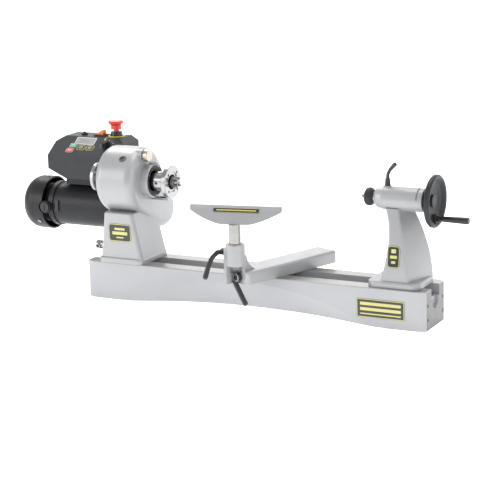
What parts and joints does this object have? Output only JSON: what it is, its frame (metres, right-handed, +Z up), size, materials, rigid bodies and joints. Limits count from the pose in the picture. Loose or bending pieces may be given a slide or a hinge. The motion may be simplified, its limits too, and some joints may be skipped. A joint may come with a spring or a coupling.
{
  "type": "wood lathe",
  "caption": "Bench-top wood lathe with swivelling headstock, side-mounted motor and control box, tool rest on a clamped banjo, and a tailstock with handwheel and live centre.",
  "frame": {"origin": "centre of the bed's underside, on the bench surface", "axes": "+X along the bed from headstock to tailstock, +Y away from the operator, +Z up"},
  "size_m": [1.102, 0.3121, 0.366],
  "materials": {
    "bed_paint": "satin silver-grey paint, machined ways",
    "casting_paint": "satin silver-grey paint",
    "motor_paint": "satin black",
    "black_plastic": "fine grain",
    "box_plastic": "fine grain charcoal",
    "steel": "turned",
    "chrome_steel": "polished",
    "aluminium": "turned",
    "copper_winding": "laminations",
    "carbon": "carbon",
    "belt_rubber": "ribbed",
    "display_glass": "clear window over a liquid crystal display",
    "board": "circuit board",
    "red_plastic": "moulded",
    "green_plastic": "moulded",
    "orange_plastic": "moulded"
  },
  "bodies": {
    "bed": {"bed_casting": "bed_paint"},
    "headstock_clamp": {"headstock_pivot_bolt": "steel", "headstock_clamp_plate": "steel"},
    "headstock": {"headstock_casting": "casting_paint", "spindle_stop_peg": "steel", "nose_ring": "motor_paint", "front_plug": "steel", "belt_door_hinge": "steel", "spindle_bearings": "steel", "motor_can": "motor_paint", "motor_front_bell": "motor_paint", "motor_rear_bell": "motor_paint", "brush_caps": "black_plastic", "carbon_brushes": "carbon", "motor_fan_cover": "motor_paint", "drive_belt": "belt_rubber", "control_box": "box_plastic", "display": "display_glass", "control_board": "board", "breaker_body": "black_plastic", "power_switch_body": "black_plastic", "estop_collar": "black_plastic", "box_bracket": "motor_paint"},
    "belt_door": {"belt_door": "casting_paint"},
    "spindle": {"spindle": "chrome_steel", "spindle_pulley": "aluminium", "spindle_handwheel": "chrome_steel", "faceplate": "steel", "spur_centre": "chrome_steel"},
    "motor_rotor": {"motor_rotor": "copper_winding", "motor_pulley": "aluminium", "motor_fan": "black_plastic"},
    "stop_key": {"stop_key": "red_plastic"},
    "start_key": {"start_key": "green_plastic"},
    "direction_key": {"direction_key": "black_plastic"},
    "display_key": {"display_key": "black_plastic"},
    "speed_knob": {"speed_knob": "black_plastic"},
    "breaker_button": {"breaker_button": "black_plastic"},
    "power_rocker": {"power_switch_rocker": "orange_plastic"},
    "estop_button": {"estop_button": "red_plastic"},
    "headstock_lock_lever": {"headstock_lock_lever": "steel"},
    "index_plunger": {"index_plunger": "chrome_steel"},
    "banjo_clamp": {"banjo_clamp_plate": "steel"},
    "banjo_pivot": {"banjo_eye_bolt": "steel"},
    "banjo": {"banjo_casting": "casting_paint"},
    "banjo_cam_lever": {"banjo_cam_lever": "black_plastic"},
    "post_lock_lever": {"post_lock_lever": "black_plastic"},
    "rest_post": {"tool_rest_post": "chrome_steel"},
    "tool_rest": {"tool_rest": "casting_paint"},
    "tailstock": {"tailstock_casting": "casting_paint", "tailstock_eye_bolt": "steel", "tailstock_clamp_plate": "steel"},
    "tailstock_cam_lever": {"tailstock_cam_lever": "black_plastic"},
    "quill": {"quill": "chrome_steel", "live_centre_body": "motor_paint"},
    "live_centre": {"live_centre_point": "chrome_steel"},
    "quill_lock_lever": {"quill_lock_lever": "black_plastic"},
    "tail_handwheel": {"tailstock_handwheel": "motor_paint", "quill_screw": "steel"},
    "handwheel_grip": {"handwheel_grip": "black_plastic"}
  },
  "joints": [
    {"name": "headstock_slide", "type": "slide", "parent": "bed", "child": "headstock_clamp", "axis": [1, 0, 0], "range_m": [-0.03, 0.15]},
    {"name": "headstock_swivel", "type": "hinge", "parent": "headstock_clamp", "child": "headstock", "pos_m": [-0.314, 0, 0.083], "axis": [0, 0, 1], "range_deg": [-90, 0]},
    {"name": "belt_door_hinge", "type": "hinge", "parent": "headstock", "child": "belt_door", "pos_m": [-0.32, 0.11364, 0.22057], "axis": [-1, 0, 0], "range_deg": [0, 100]},
    {"name": "spindle_spin", "type": "hinge", "parent": "headstock", "child": "spindle", "pos_m": [-0.25, 0, 0.261], "axis": [1, 0, 0], "continuous": true},
    {"name": "motor_spin", "type": "hinge", "parent": "headstock", "child": "motor_rotor", "pos_m": [-0.45, 0.085, 0.174], "axis": [1, 0, 0], "continuous": true},
    {"name": "headstock_lock", "type": "hinge", "parent": "headstock", "child": "headstock_lock_lever", "pos_m": [-0.38, -0.022, 0.112], "axis": [1, 0, 0], "range_deg": [0, 60]},
    {"name": "index_plunger_press", "type": "slide", "parent": "headstock", "child": "index_plunger", "axis": [-1, 0, 0], "range_m": [0, 0.004], "stiffness_N_per_m": 300},
    {"name": "stop_key_press", "type": "slide", "parent": "headstock", "child": "stop_key", "axis": [0, 0.5652, -0.8249], "range_m": [0, 0.0012], "stiffness_N_per_m": 600},
    {"name": "start_key_press", "type": "slide", "parent": "headstock", "child": "start_key", "axis": [0, 0.5652, -0.8249], "range_m": [0, 0.0012], "stiffness_N_per_m": 600},
    {"name": "direction_key_press", "type": "slide", "parent": "headstock", "child": "direction_key", "axis": [0, 0.5652, -0.8249], "range_m": [0, 0.0012], "stiffness_N_per_m": 600},
    {"name": "display_key_press", "type": "slide", "parent": "headstock", "child": "display_key", "axis": [0, 0.5652, -0.8249], "range_m": [0, 0.0012], "stiffness_N_per_m": 600},
    {"name": "speed_knob_turn", "type": "hinge", "parent": "headstock", "child": "speed_knob", "pos_m": [-0.418, 0.07782, 0.31617], "axis": [0, -0.5652, 0.8249], "range_deg": [-150, 120]},
    {"name": "breaker_press", "type": "slide", "parent": "headstock", "child": "breaker_button", "axis": [0, 0, -1], "range_m": [0, 0.002], "stiffness_N_per_m": 800},
    {"name": "power_rocker_tilt", "type": "hinge", "parent": "headstock", "child": "power_rocker", "pos_m": [-0.455, 0.117, 0.3318], "axis": [0, 1, 0], "range_deg": [0, 16]},
    {"name": "estop_press", "type": "slide", "parent": "headstock", "child": "estop_button", "axis": [0, 0, -1], "range_m": [0, 0.005]},
    {"name": "banjo_slide", "type": "slide", "parent": "bed", "child": "banjo_clamp", "axis": [1, 0, 0], "range_m": [-0.12, 0.12]},
    {"name": "banjo_swing", "type": "hinge", "parent": "banjo_clamp", "child": "banjo_pivot", "pos_m": [0.054, 0, 0.083], "axis": [0, 0, 1], "range_deg": [-15, 55]},
    {"name": "banjo_reach", "type": "slide", "parent": "banjo_pivot", "child": "banjo", "axis": [-0.3584, -0.9336, 0], "range_m": [-0.03, 0.07]},
    {"name": "banjo_lock", "type": "hinge", "parent": "banjo", "child": "banjo_cam_lever", "pos_m": [0.00741, -0.12137, 0.0965], "axis": [-0.3584, -0.9336, 0], "range_deg": [0, 60]},
    {"name": "post_lock", "type": "hinge", "parent": "banjo", "child": "post_lock_lever", "pos_m": [-0.02167, -0.11342, 0.146], "axis": [-0.9336, 0.3584, 0], "range_deg": [-90, 0]},
    {"name": "rest_height", "type": "slide", "parent": "banjo", "child": "rest_post", "axis": [0, 0, 1], "range_m": [-0.025, 0.012]},
    {"name": "rest_swivel", "type": "hinge", "parent": "rest_post", "child": "tool_rest", "pos_m": [0.00634, -0.12417, 0.2], "axis": [0, 0, 1], "range_deg": [-60, 60]},
    {"name": "tailstock_slide", "type": "slide", "parent": "bed", "child": "tailstock", "axis": [1, 0, 0], "range_m": [-0.12, 0.015]},
    {"name": "tailstock_lock", "type": "hinge", "parent": "tailstock", "child": "tailstock_cam_lever", "pos_m": [0.324, 0.06, 0.099], "axis": [0, 1, 0], "range_deg": [0, 70]},
    {"name": "tail_handwheel_turn", "type": "hinge", "parent": "tailstock", "child": "tail_handwheel", "pos_m": [0.39, 0, 0.261], "axis": [-1, 0, 0], "range_deg": [0, 3600]},
    {"name": "quill_slide", "type": "slide", "parent": "tailstock", "child": "quill", "axis": [-1, 0, 0], "range_m": [0, 0.05]},
    {"name": "grip_spin", "type": "hinge", "parent": "tail_handwheel", "child": "handwheel_grip", "pos_m": [0.43, 0, 0.225], "axis": [1, 0, 0], "continuous": true},
    {"name": "quill_lock", "type": "hinge", "parent": "tailstock", "child": "quill_lock_lever", "pos_m": [0.297, 0, 0.29], "axis": [0, 0, 1], "range_deg": [-90, 30]},
    {"name": "live_centre_spin", "type": "hinge", "parent": "quill", "child": "live_centre", "pos_m": [0.25, 0, 0.261], "axis": [1, 0, 0], "continuous": true}
  ],
  "couplings": [
    {"joint": "motor_spin", "follows": "spindle_spin", "ratio": 2.05},
    {"joint": "quill_slide", "follows": "tail_handwheel_turn", "m_per_rad": 0.00079577}
  ]
}
